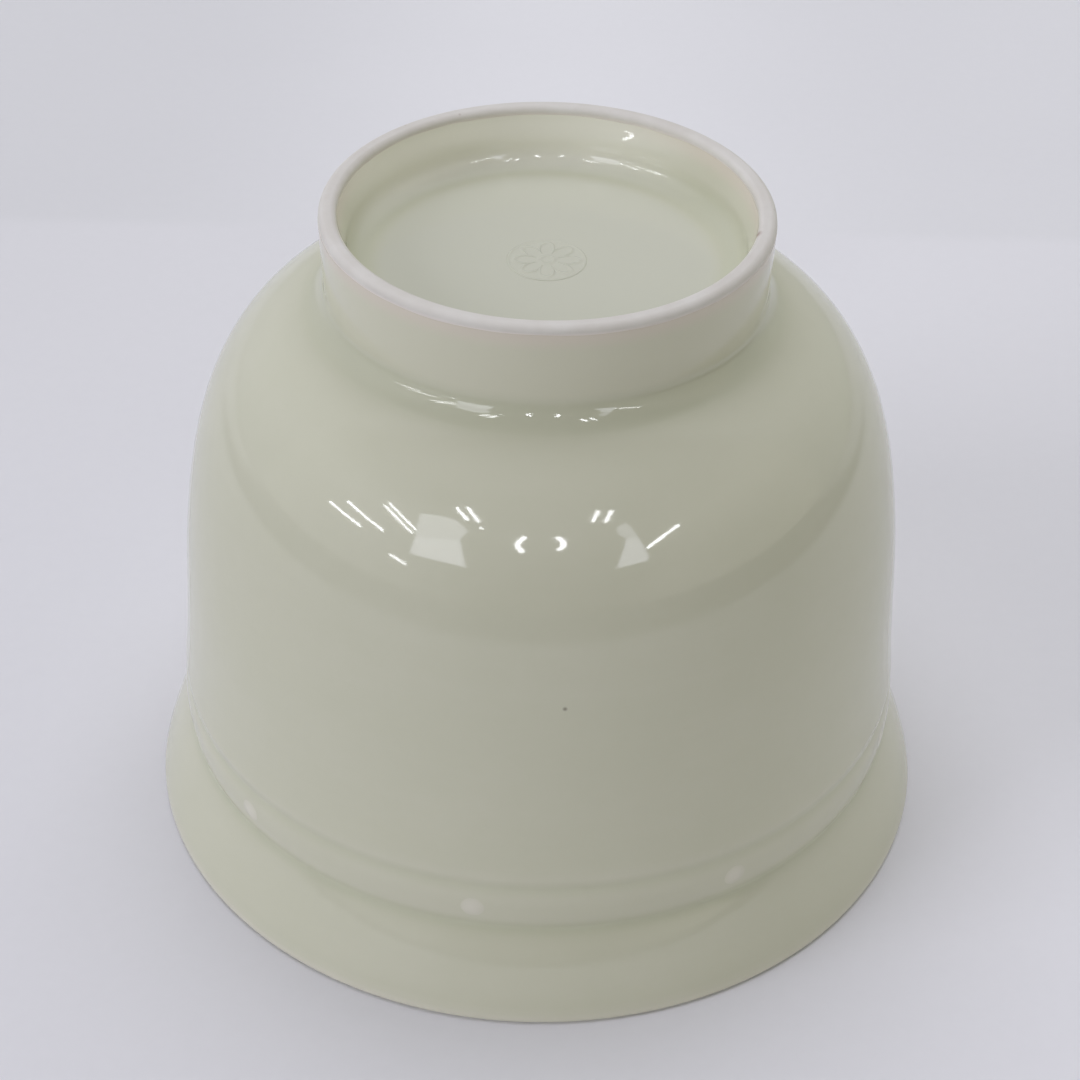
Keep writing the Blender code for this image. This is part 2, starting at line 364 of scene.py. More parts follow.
# Windows: a name, a radiance and the corners in order.
WINDOWS = (
    (
        "window_left",
        3.5,
        ((36.3, -45.7), (39.2, -38.2), (39.5, -32.3), (34.9, -26.5), (28.8, -27.8), (23.5, -42.4)),
    ),
    (
        "window_left_low",
        4.5,
        ((23.5, -42.4), (28.8, -27.8), (15.3, -23.4), (15.6, -31.2), (14.7, -41.7)),
    ),
    (
        "window_right",
        2.8,
        ((38.1, 28.0), (40.2, 32.2), (35.9, 33.4), (30.0, 33.8), (30.5, 29.7), (34.1, 27.7)),
    ),
    (
        "window_right_low",
        4.2,
        ((30.5, 29.7), (30.0, 33.8), (19.2, 34.8), (17.0, 34.0), (16.4, 23.9)),
    ),
)

# Fills that light the bowl and don't show in the glaze: as a tube, then a radiance.
FILLS = (
    ("fill_left", (22.0, -78.0), (22.0, -46.0), 30.0, 3.5),
    ("fill_front", (33.0, -22.0), (33.0, 14.0), 28.0, 0.5),
    ("key_soft", (62.0, -160.0), (62.0, 170.0), 34.0, 0.4),
    ("ceiling_soft", (60.0, 120.0), (60.0, 240.0), 50.0, 1.84),
)


# Outlines.


def lean(degrees):
    """The unit direction in (r, z) that leans from upright towards the axis."""
    turn = math.radians(degrees)
    return -math.sin(turn), math.cos(turn)


def step(point, direction, length):
    """A point moved along a direction in (r, z)."""
    return point[0] + direction[0] * length, point[1] + direction[1] * length


def cubic(start, start_handle, end_handle, end):
    """Points after start, up to and with end, on a cubic curve."""
    t = np.arange(1, CURVE_POINTS + 1)[:, None] / CURVE_POINTS
    corners = [np.array(p) for p in (start, start_handle, end_handle, end)]
    weights = ((1 - t) ** 3, 3 * (1 - t) ** 2 * t, 3 * (1 - t) * t * t, t**3)
    return [tuple(p) for p in sum(w * c for w, c in zip(weights, corners))]


def arc(centre, radius, start, end):
    """Points on an arc, from start to end in degrees, both ends included."""
    turns = np.radians(np.linspace(start, end, ARC_POINTS))
    return [(centre[0] + radius * math.cos(t), centre[1] + radius * math.sin(t)) for t in turns]


def well_outline(foot):
    """From the middle of the foot's floor out to the glaze line on the ring's inner side."""
    corner_radius = foot["inner"] - WELL_CORNER_INSET
    centre = (corner_radius - WELL_FILLET_RADIUS, foot["floor"] + WELL_FILLET_RADIUS)
    corner_top = (corner_radius, centre[1])
    top = (foot["inner"], foot["glaze_top"])
    pull = (top[1] - corner_top[1]) / 3
    points = [(0.0, foot["floor"])]
    points += arc(centre, WELL_FILLET_RADIUS, -90.0, 0.0)
    points += cubic(corner_top, step(corner_top, UP, pull), step(top, lean(-WELL_TAPER), -pull), top)
    return points, (centre[0], foot["floor"])


def foot_outline(foot):
    """From the glaze line on the ring's outer side down to its toe on the shoulder."""
    top = (foot["outer"], foot["glaze_top"])
    root = (foot["outer"] - FOOT_ROOT_INSET, foot["top"] - FOOT_ROOT_DROP)
    root_up = step(root, lean(-FOOT_TAPER), FOOT_SIDE_PULL)
    fillet_up = step(root, lean(-FOOT_TAPER), -FILLET_PULL_UP)
    fillet_down = step(SHOULDER, lean(SHOULDER_LEAN), FILLET_PULL_DOWN)
    points = [top]
    points += cubic(top, step(top, UP, -FOOT_SIDE_PULL), root_up, root)
    points += cubic(root, fillet_up, fillet_down, SHOULDER)
    return points


def wall_outline():
    """The outside of the wall, from under the shoulder down to the girdle."""
    to_waist = step(SHOULDER, lean(SHOULDER_LEAN), -SHOULDER_PULL)
    above_waist = step(WAIST, lean(WAIST_LEAN), WAIST_PULL_ABOVE)
    below_waist = step(WAIST, lean(WAIST_LEAN), -WAIST_PULL_BELOW)
    to_start = step(WALL_START, lean(WALL_START_LEAN), WALL_START_PULL)
    points = cubic(SHOULDER, to_waist, above_waist, WAIST)
    points += cubic(WAIST, below_waist, to_start, WALL_START)
    return points


def girdle_outline():
    """The upper tooled line, the bead and the lower tooled line."""
    upper_side = step(UPPER_LINE, lean(BEAD_SIDE_LEAN), -BEAD_PULL)
    lower_side = step(LOWER_LINE, lean(-BEAD_SIDE_LEAN), BEAD_PULL)
    points = [UPPER_LINE]
    points += cubic(UPPER_LINE, upper_side, step(BEAD, UP, BEAD_PULL), BEAD)
    points += cubic(BEAD, step(BEAD, UP, -BEAD_PULL), lower_side, LOWER_LINE)
    return points


def lip_outline(mouth_radius):
    """The outside of the lip, its rounded edge and the land that the mouth rests on."""
    outer_centre = (mouth_radius - LIP_EDGE_RADIUS, LIP_EDGE_RADIUS)
    inner_centre = (outer_centre[0] - LIP_LAND, LIP_EDGE_RADIUS)
    edge = arc(outer_centre, LIP_EDGE_RADIUS, LIP_EDGE_LEAN, -90.0)
    root_down = step(LOWER_LINE, lean(LIP_ROOT_LEAN), -LIP_PULL)
    edge_up = step(edge[0], lean(LIP_EDGE_LEAN), LIP_PULL)
    points = cubic(LOWER_LINE, root_down, edge_up, edge[0])
    points += edge
    points += arc(inner_centre, LIP_EDGE_RADIUS, -90.0, -180.0)
    return points


def inside_outline(lip_inner, foot):
    """The food side, from the inner edge of the lip up to the middle of the floor."""
    shoulder = (WAIST[0] - WALL, WAIST[1])
    floor = (0.0, foot["floor"] - FLOOR_THICKNESS)
    start_down = step(INNER_START, UP, -INNER_LIP_PULL)
    start_up = step(INNER_START, UP, WALL_START_PULL)
    waist_down = step(shoulder, lean(WAIST_LEAN), -WAIST_PULL_BELOW)
    waist_up = step(shoulder, lean(WAIST_LEAN), INNER_SHOULDER_PULL)
    points = cubic(lip_inner, step(lip_inner, UP, INNER_LIP_PULL), start_down, INNER_START)
    points += cubic(INNER_START, start_up, waist_down, shoulder)
    points += cubic(shoulder, waist_up, step(floor, OUTWARD, INNER_FLOOR_PULL), floor)
    return points


def smoothed(values, spread, spacing):
    """Values along an outline, blurred over a length. Their ends stay."""
    reach = max(1, round(3 * spread / spacing))
    offsets = np.arange(-reach, reach + 1) * spacing
    weights = np.exp(-0.5 * (offsets / spread) ** 2)
    before = 2 * values[0] - values[reach:0:-1]
    after = 2 * values[-1] - values[-2 : -reach - 2 : -1]
    padded = np.concatenate((before, values, after))
    return np.convolve(padded, weights / weights.sum(), mode="valid")


def glazed(points):
    """An outline as glaze leaves it: rows of r, z, normal r, normal z and glaze depth.

    Corners are softened, hollows hold more glaze than the flat and edges hold less.
    """
    rough = np.array(points)
    lengths = np.concatenate(([0.0], np.cumsum(np.linalg.norm(np.diff(rough, axis=0), axis=1))))
    count = int(lengths[-1] / OUTLINE_STEP)
    along = np.linspace(0.0, lengths[-1], count)
    spacing = along[1]
    r = smoothed(np.interp(along, lengths, rough[:, 0]), GLAZE_SOFTENING, spacing)
    z = smoothed(np.interp(along, lengths, rough[:, 1]), GLAZE_SOFTENING, spacing)
    heading = np.unwrap(np.arctan2(np.gradient(z), np.gradient(r)))
    curvature = np.gradient(heading) / spacing
    depth = EVEN_DEPTH * (1 + np.tanh(smoothed(curvature, POOL_SPREAD, spacing) / POOL_CURVATURE))
    longest = STEP_TURN / np.maximum(np.abs(curvature), FLAT_CURVATURE)
    pace = 1.0 / np.clip(longest, SHORTEST_STEP, LONGEST_STEP)
    travel = np.concatenate(([0.0], np.cumsum((pace[1:] + pace[:-1]) / 2 * spacing)))
    stops = np.interp(np.linspace(0.0, travel[-1], math.ceil(travel[-1]) + 1), travel, along)
    columns = (r, z, -np.sin(heading), np.cos(heading), depth)
    return np.stack([np.interp(stops, along, column) for column in columns], axis=1)


def split(outline, point):
    """An outline in two parts that share the row nearest to a point."""
    index = int(np.argmin(np.hypot(outline[:, 0] - point[0], outline[:, 1] - point[1])))
    return outline[: index + 1], outline[index:]


def plain_rows(*points):
    """Rows for points that need no true normal: in a seat between pieces, or on a bare piece."""
    return np.array([(r, z, *UP, EVEN_DEPTH) for r, z in points])


# Meshes.


def new_piece(name, verts, faces, normals, depth, material, slot, nodes):
    """A smooth mesh piece that rides with the bowl and stands for the CAD nodes named."""
    mesh = bpy.data.meshes.new(name)
    mesh.from_pydata([tuple(v) for v in verts], [], faces)
    mesh.polygons.foreach_set("use_smooth", [True] * len(mesh.polygons))
    mesh.attributes.new("glaze_depth", "FLOAT", "POINT").data.foreach_set("value", depth)
    if normals is not None:
        mesh.normals_split_custom_set_from_vertices([tuple(n) for n in normals])
    mesh.materials.append(material)
    piece = bpy.data.objects.new(name, mesh)
    bpy.context.scene.collection.objects.link(piece)
    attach(piece, "root")
    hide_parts(*nodes)


def turned(outline, turns, ring):
    """Vertices, faces, normals and depths of an outline turned round the axis."""
    angles = np.arange(turns) * math.tau / turns
    verts, normals, depth, starts = [], [], [], []
    for r, z, nr, nz, d in outline:
        starts.append(len(verts))
        on_axis = r <= AXIS_REACH
        side = 0.0 if on_axis else nr
        for a in angles[:1] if on_axis else angles:
            verts.append((r * math.cos(a), r * math.sin(a), z))
            normals.append((side * math.cos(a), side * math.sin(a), nz))
            depth.append(d)
    sizes = np.diff(starts + [len(verts)])
    faces = []
    rows = range(len(starts)) if ring else range(len(starts) - 1)
    for row in rows:
        low, high = starts[row], starts[(row + 1) % len(starts)]
        low_size, high_size = sizes[row], sizes[(row + 1) % len(starts)]
        for j in range(turns):
            k = (j + 1) % turns
            if low_size == 1:
                faces.append((low, high + j, high + k))
            elif high_size == 1:
                faces.append((low + j, high, low + k))
            else:
                faces.append((low + j, high + j, high + k, low + k))
    return verts, faces, normals, depth


def relief(rings, turns, radius, place, height, depth_at):
    """A closed low relief on a round patch: its face, a short side and a flat back.

    place(u, v, offset) gives the point over the patch, and height(share, angle) the rise.
    """
    angles = np.arange(turns) * math.tau / turns
    face, depth = [place(0.0, 0.0, height(0.0, 0.0))], [depth_at(0.0)]
    for ring in range(1, rings + 1):
        share = ring / rings
        for a in angles:
            u, v = radius * share * math.cos(a), radius * share * math.sin(a)
            face.append(place(u, v, height(share, a)))
            depth.append(depth_at(share))
    faces = [(0, 1 + j, 1 + (j + 1) % turns) for j in range(turns)]
    for ring in range(rings - 1):
        low, high = 1 + ring * turns, 1 + (ring + 1) * turns
        for j in range(turns):
            k = (j + 1) % turns
            faces.append((low + j, high + j, high + k, low + k))
    rim = 1 + (rings - 1) * turns
    back = len(face)
    for a in angles:
        face.append(place(radius * math.cos(a), radius * math.sin(a), -RELIEF_BACK))
        depth.append(depth_at(1.0))
    for j in range(turns):
        k = (j + 1) % turns
        faces.append((rim + j, back + j, back + k, rim + k))
    faces.append(tuple(back + j for j in reversed(range(turns))))
    return face, faces, depth


def build_skin(foot, mouth_radius, celadon):
    """The glazed body and the glazed foot ring, cut from one continuous outline."""
    well_points, well_join = well_outline(foot)
    well = glazed(well_points)
    wall_points = foot_outline(foot) + wall_outline() + girdle_outline() + lip_outline(mouth_radius)
    outer = glazed(wall_points + inside_outline(wall_points[-1], foot))
    well_floor, ring_inner = split(well, well_join)
    ring_outer, body = split(outer, SHOULDER)
    inner, toe = tuple(well_floor[-1, :2]), tuple(body[0, :2])
    seat_inner, seat_outer = step(inner, UP, -SEAT_DEPTH), step(toe, UP, -SEAT_DEPTH)
    body_rows = np.vstack((well_floor, plain_rows(seat_inner, seat_outer), body))
    body_mesh = turned(body_rows, TURNS, False)
    new_piece("glazed_body", *body_mesh, celadon, "celadon_glaze", ["bowl_body"])

    rise = SEAT_DEPTH - SEAT_CLEARANCE
    crest = foot["glaze_top"] + GLAZE_ROLL
    roll_in = (foot["inner"] + GLAZE_ROLL, crest)
    roll_out = (foot["outer"] - GLAZE_ROLL, crest)
    underside = plain_rows(step(toe, UP, -rise), step(inner, UP, -rise))
    over_in = (*roll_in, -ROLL_SIDE, ROLL_UP, ROLL_DEPTH)
    over_out = (*roll_out, ROLL_SIDE, ROLL_UP, ROLL_DEPTH)
    ring_rows = np.vstack((ring_inner, over_in, over_out, ring_outer, underside))
    verts, faces, normals, depth = turned(ring_rows, TURNS, True)
    verts = [wander(v, foot) for v in verts]
    new_piece("glazed_foot", verts, faces, normals, depth, celadon, "celadon_glaze", ["foot_ring"])
    return outer


def wander(vert, foot):
    """Lets the glaze line at the top of the foot rise and fall a little round the ring."""
    x, y, z = vert
    near = max(0.0, min(1.0, 1.0 - (foot["glaze_top"] - z) / GLAZE_LINE_REACH))
    turn = math.atan2(y, x)
    wave = sum(weight * math.sin(count * turn + start) for count, start, weight in GLAZE_LINE_WAVES)
    total = sum(weight for _, _, weight in GLAZE_LINE_WAVES)
    return x, y, z + GLAZE_LINE_WANDER * near * near * wave / total


def build_bare_edge(foot, bare):
    """The wiped edge of the foot ring."""
    outer = foot["outer"] - GLAZE_STEP
    inner = foot["inner"] + GLAZE_STEP
    top = foot["top"]
    bottom = top - EDGE_ROOT
    outer_centre = (outer - EDGE_OUTER_ROUND, top - EDGE_OUTER_ROUND)
    inner_centre = (inner + EDGE_INNER_ROUND, top - EDGE_INNER_ROUND)
    points = arc(inner_centre, EDGE_INNER_ROUND, 180.0, 90.0)
    points += arc(outer_centre, EDGE_OUTER_ROUND, 90.0, 0.0)
    sides = [(outer, bottom), (inner, bottom)]
    verts, faces, _, depth = turned(plain_rows(*points, *sides), TURNS, True)
    new_piece("bare_foot_edge", verts, faces, None, depth, bare, "bare_porcelain", ["foot_edge"])


def build_sprigs(outer, names, pale):
    """Soft round bosses laid on the bead."""
    bead = outer[outer[:, 0] > BEAD[0] - BEAD_MARGIN]
    bead = bead[bead[:, 1] > LOWER_LINE[1] - BEAD_MARGIN]
    bead = bead[bead[:, 1] < UPPER_LINE[1] + BEAD_MARGIN]
    bead = bead[np.argsort(bead[:, 1])]
    for name in names:
        low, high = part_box(name)
        middle = (low + high) / 2
        azimuth = math.atan2(middle.y, middle.x)
        radius = (high.z - low.z) / 2 * BOSS_SKIRT_RATIO

        def place(u, v, offset):
            height = middle.z + v
            r, nr, nz = (np.interp(height, bead[:, 1], bead[:, c]) for c in (0, 2, 3))
            turn = azimuth + u / BEAD[0]
            reach = r + nr * offset
            return reach * math.cos(turn), reach * math.sin(turn), height + nz * offset

        def height(share, _):
            return BOSS_RISE * (1 - share**2) ** 2 - RELIEF_SINK

        def depth_at(share):
            return EVEN_DEPTH * share**2

        face, faces, depth = relief(BOSS_RINGS, BOSS_TURNS, radius, place, height, depth_at)
        new_name = name.replace("boss", "sprig")
        new_piece(new_name, face, faces, None, depth, pale, "pale_celadon_glaze", [name])


def ridge(off, width):
    """The height of a soft ridge, from 0 to 1, at a place off its middle."""
    return math.exp(-((off / width) ** 2))


def rosette(share, angle):
    """The height of the rosette's raised lines, from 0 to 1."""
    turn = SEAL_PETALS * angle / 2
    petal = PETAL_ROOT + PETAL_LENGTH * abs(math.cos(turn)) ** PETAL_ROUNDNESS
    vein = VEIN_RISE if VEIN_START < share < petal else 0.0
    lines = [ridge(share - circle, CIRCLE_WIDTH) for circle in SEAL_CIRCLES]
    lines.append(ridge(share - petal, PETAL_WIDTH))
    lines.append(vein * ridge(math.cos(turn) * share, VEIN_WIDTH))
    return max(lines)


def build_seal(foot, celadon):
    """A plain rosette in a ring, pressed on the middle of the foot's floor."""
    low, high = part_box("foot_seal")
    radius = (high.x - low.x) / 2 * SEAL_MARGIN

    def place(u, v, offset):
        return u, v, foot["floor"] + offset

    def height(share, angle):
        skirt = min(1.0, (1 - share) / SEAL_SKIRT)
        return SEAL_RISE * rosette(share / SEAL_MARGIN, angle) * skirt + RELIEF_SINK * (2 * skirt - 1)

    def depth_at(_):
        return EVEN_DEPTH

    face, faces, depth = relief(SEAL_RINGS, SEAL_TURNS, radius, place, height, depth_at)
    new_piece("seal_rosette", face, faces, None, depth, celadon, "celadon_glaze", ["foot_seal"])


# Materials.


class Nodes:
    """A short way to add and link shader nodes."""

    def __init__(self, tree):
        self.tree = tree

    def feed(self, socket, value):
        """Links an input to a socket, or sets it to a value."""
        if isinstance(value, bpy.types.NodeSocket):
            self.tree.links.new(value, socket)
        else:
            socket.default_value = value

    def add(self, kind, settings=None, **inputs):
        node = self.tree.nodes.new(kind)
        for key, value in (settings or {}).items():
            setattr(node, key, value)
        for key, value in inputs.items():
            self.feed(node.inputs[key.replace("_", " ")], value)
        return node

    def math(self, operation, a, b=0.0, clamp=False):
        node = self.add("ShaderNodeMath", {"operation": operation, "use_clamp": clamp})
        for socket, value in zip(node.inputs, (a, b)):
            self.feed(socket, value)
        return node.outputs[0]

    def every(self, *masks):
        """1 only where each mask is 1."""
        product = masks[0]
        for mask in masks[1:]:
            product = self.math("MULTIPLY", product, mask)
        return product

    def noise(self, vector, scale, detail, roughness):
        node = self.add("ShaderNodeTexNoise", Vector=vector, Scale=scale, Detail=detail)
        self.feed(node.inputs["Roughness"], roughness)
        return node.outputs["Fac"]

    def centred(self, value, amount):
        """A 0 to 1 value moved to lie round 0, with the given reach."""
        return self.math("MULTIPLY", self.math("SUBTRACT", value, 0.5), amount)

    def between(self, value, low, high):
        """0 up to low and 1 from high on, with a soft step. It falls where low is the greater."""
        node = self.add("ShaderNodeMapRange", {"interpolation_type": "SMOOTHSTEP"}, Value=value)
        self.feed(node.inputs["From Min"], low)
        self.feed(node.inputs["From Max"], high)
        return node.outputs["Result"]

    def vector(self, operation, a, b=(0.0, 0.0, 0.0)):
        """The outputs of a vector operation."""
        node = self.add("ShaderNodeVectorMath", {"operation": operation})
        for socket, value in zip(node.inputs, (a, b)):
            self.feed(socket, value)
        return node.outputs

    def scaled(self, vector, scale):
        return self.vector("MULTIPLY", vector, scale)["Vector"]

    def off_axis(self, place):
        """How far a place is from the turning axis."""
        return self.vector("LENGTH", self.scaled(place, (1.0, 1.0, 0.0)))["Value"]

    def spot(self, place, centre, radius):
        """1 round a point and 0 past a radius, with a soft side."""
        share = self.math("DIVIDE", self.vector("DISTANCE", place, centre)["Value"], radius)
        fall = self.math("MULTIPLY", share, SPOT_FULLNESS)
        return self.math("SUBTRACT", SPOT_FULLNESS, fall, clamp=True)

    def dots(self, place, cells, sharpness, limit, strength):
        """A soft dot in each of a few cells, which are the ones that draw more than the limit."""
        texture = self.add("ShaderNodeTexVoronoi", Vector=place, Scale=cells).outputs
        fall = self.math("MULTIPLY", texture["Distance"], sharpness)
        dot = self.math("SUBTRACT", 1.0, fall, clamp=True)
        draw = self.add("ShaderNodeSeparateColor", Color=texture["Color"]).outputs[0]
        return self.every(dot, self.math("GREATER_THAN", draw, limit), strength)

    def mix(self, factor, a, b):
        """Colour a at factor 0 and colour b at factor 1."""
        node = self.add("ShaderNodeMix", {"data_type": "RGBA"})
        for name, value in (("Factor", factor), ("A", a), ("B", b)):
            self.feed(next(s for s in node.inputs if s.name == name and s.enabled), value)
        return next(s for s in node.outputs if s.enabled)

    def ramp(self, factor, stops):
        """A colour between (position, colour) stops."""
        node = self.add("ShaderNodeValToRGB", Fac=factor)
        elements = node.color_ramp.elements
        while len(elements) < len(stops):
            elements.new(stops[1][0])
        for element, (position, colour) in zip(elements, stops):
            element.position = position
            element.color = (*colour, 1.0)
        return node.outputs["Color"]

    def bump(self, height, distance, normal=None):
        """A normal that a height moves, on top of an earlier normal."""
        node = self.add("ShaderNodeBump", Height=height, Distance=distance)
        if normal is not None:
            self.feed(node.inputs["Normal"], normal)
        return node.outputs["Normal"]


def new_material(name):
    """A material, its nodes, its shader's inputs and the place on the object."""
    material = bpy.data.materials.new(name)
    material.use_nodes = True
    tree = material.node_tree
    tree.nodes.clear()
    nodes = Nodes(tree)
    shader = nodes.add("ShaderNodeBsdfPrincipled")
    output = nodes.add("ShaderNodeOutputMaterial")
    tree.links.new(shader.outputs[0], output.inputs["Surface"])
    place = nodes.add("ShaderNodeTexCoord").outputs["Object"]
    return material, nodes, shader.inputs, place


def around_axis(azimuth, reach, height):
    """The point at an azimuth in degrees, a reach from the axis and a height."""
    turn = math.radians(azimuth)
    return reach * math.cos(turn), reach * math.sin(turn), height


def stain_mask(nodes, place, bare_line):
    """A small ragged brown stain on the inner side of the foot, across the bare line."""
    centre = around_axis(STAIN_AZIMUTH, STAIN_REACH, bare_line + STAIN_RISE)
    ragged = nodes.math("ADD", STAIN_EVEN_SHARE, nodes.noise(place, *STAIN_GRAIN))
    stain = nodes.spot(place, centre, STAIN_RADIUS)
    return nodes.math("MULTIPLY", stain, ragged, clamp=True)


def well_back_painted_light_mask(nodes, parts, radius, bare_line):
    """The back of the well's wall, painted lighter: painted light where the lamps fall on it. It is
    skewed to the left.
    """
    skewed = nodes.math("SUBTRACT", parts["Y"], nodes.math("MULTIPLY", parts["X"], WELL_BACK_SKEW))
    wall_low = bare_line - WELL_WALL_DEPTH
    return nodes.every(
        nodes.between(skewed, WELL_BACK_START, WELL_BACK_FULL),
        nodes.between(radius, WELL_WALL_START, WELL_WALL_FULL),
        nodes.between(radius, WELL_WALL_END + MASK_BLUR, WELL_WALL_END),
        nodes.between(parts["Z"], wall_low - MASK_BLUR, wall_low),
    )


def glaze_colour(nodes, place, rings, even, bare_line):
    """The colour by the glaze's depth, then the parts where it is laid paler, the painted light on the
    back of the well's wall, and the marks.
    """
    depth = nodes.add("ShaderNodeAttribute", {"attribute_name": "glaze_depth"}).outputs["Fac"]
    mottle = nodes.noise(place, *MOTTLE)
    grain = nodes.noise(place, *GRAIN)
    for value, amount in ((mottle, MOTTLE_AMOUNT), (grain, GRAIN_AMOUNT), (rings, THROWN_RINGS_AMOUNT)):
        depth = nodes.math("ADD", depth, nodes.centred(value, amount))
    colour = nodes.ramp(depth, ((0.0, THIN_GLAZE), (EVEN_DEPTH, even), (1.0, DEEP_GLAZE)))

    parts = nodes.add("ShaderNodeSeparateXYZ", Vector=place).outputs
    height = parts["Z"]
    radius = nodes.off_axis(place)
    on_floor = nodes.between(radius, WELL_FLOOR_END, WELL_FLOOR_FULL)
    floor_low = bare_line - WELL_FLOOR_DEPTH
    above_body = nodes.between(height, floor_low, floor_low + MASK_BLUR)
    outside = nodes.between(radius, WELL_WALL_END, WELL_WALL_END + MASK_BLUR)
    on_foot = nodes.between(height, FOOT_THIN_START, FOOT_THIN_FULL)
    near_line = nodes.between(height, bare_line - FLASH_REACH, bare_line)
    colour = nodes.mix(nodes.every(on_floor, above_body), colour, WELL_FLOOR_GLAZE)
    colour = nodes.mix(nodes.every(outside, on_foot), colour, FOOT_GLAZE)
    colour = nodes.mix(nodes.every(near_line, FLASH_STRENGTH), colour, FLASH)
    # Painted light: the back of the well's wall is coloured lighter where the lamps fall on it.
    colour = nodes.mix(well_back_painted_light_mask(nodes, parts, radius, bare_line), colour, WELL_WALL_PAINTED_LIGHT)

    colour = nodes.mix(stain_mask(nodes, place, bare_line), colour, STAIN)
    flecks = nodes.dots(place, FLECK_CELLS, FLECK_SHARPNESS, FLECK_LIMIT, FLECK_STRENGTH)
    speck_centre = around_axis(SPECK_AZIMUTH, SPECK_REACH, SPECK_HEIGHT)
    speck = nodes.math("MULTIPLY", nodes.spot(place, speck_centre, SPECK_RADIUS), SPECK_STRENGTH)
    return nodes.mix(nodes.math("MAXIMUM", flecks, speck), colour, IRON)


def celadon_material(name, even, bare_line):
    """Pale green glaze over porcelain: pooled and greener in hollows, thin and paler on edges.

    It is laid paler on the foot and on the well's floor, the back of the well's wall is painted lighter
    as painted light, and it thins to a warm flash just under the bare line. A stain, a speck and a few
    flecks mark it.
    """
    material, nodes, inputs, place = new_material(name)
    rings = nodes.noise(nodes.scaled(place, THROWN_RINGS_SCALE), *THROWN_RINGS)
    on_floor = nodes.between(nodes.off_axis(place), WELL_FLOOR_END, WELL_FLOOR_FULL)
    wave = nodes.bump(nodes.noise(place, *GLAZE_WAVE), GLAZE_WAVE_HEIGHT)
    thrown = nodes.bump(rings, THROWN_RINGS_HEIGHT, wave)
    trowelled = nodes.math("MULTIPLY", nodes.noise(place, *WELL_WAVE), on_floor)
    well = nodes.bump(trowelled, WELL_WAVE_HEIGHT, thrown)
    skin = nodes.bump(nodes.noise(place, *GLAZE_SKIN), GLAZE_SKIN_HEIGHT, well)
    haze = nodes.centred(nodes.noise(place, *GLAZE_HAZE), GLAZE_HAZE_AMOUNT)
    nodes.feed(inputs["Base Color"], glaze_colour(nodes, place, rings, even, bare_line))
    nodes.feed(inputs["Roughness"], nodes.math("ADD", GLAZE_ROUGHNESS, haze))
    nodes.feed(inputs["Normal"], skin)
    nodes.feed(inputs["IOR"], GLAZE_IOR)
    return material


def bare_material(bare_line):
    """Unglazed porcelain, faintly warm, matt and finely grained, with a flash along the glaze."""
    material, nodes, inputs, place = new_material("bare_porcelain")
    cloud = nodes.noise(place, *BARE_CLOUD)
    colour = nodes.ramp(cloud, ((BARE_CLOUD_DARK, BARE_DARK), (BARE_CLOUD_LIGHT, BARE_LIGHT)))
    height = nodes.add("ShaderNodeSeparateXYZ", Vector=place).outputs["Z"]
    off_line = nodes.between(height, bare_line, bare_line + BARE_FLASH_REACH)
    colour = nodes.mix(off_line, BARE_FLASH, colour)
    dust = nodes.dots(place, DUST_CELLS, DUST_SHARPNESS, DUST_LIMIT, DUST_STRENGTH)
    marks = nodes.math("MAXIMUM", dust, stain_mask(nodes, place, bare_line))
    rough = nodes.math("ADD", BARE_ROUGHNESS, nodes.centred(cloud, BARE_ROUGHNESS_AMOUNT))
    grain = nodes.bump(nodes.noise(place, *BARE_GRAIN), BARE_GRAIN_HEIGHT)
    wave = nodes.bump(nodes.noise(place, *BARE_WAVE), BARE_WAVE_HEIGHT, grain)
    nodes.feed(inputs["Base Color"], nodes.mix(marks, colour, STAIN))
    nodes.feed(inputs["Roughness"], rough)
    nodes.feed(inputs["Normal"], wave)
    return material


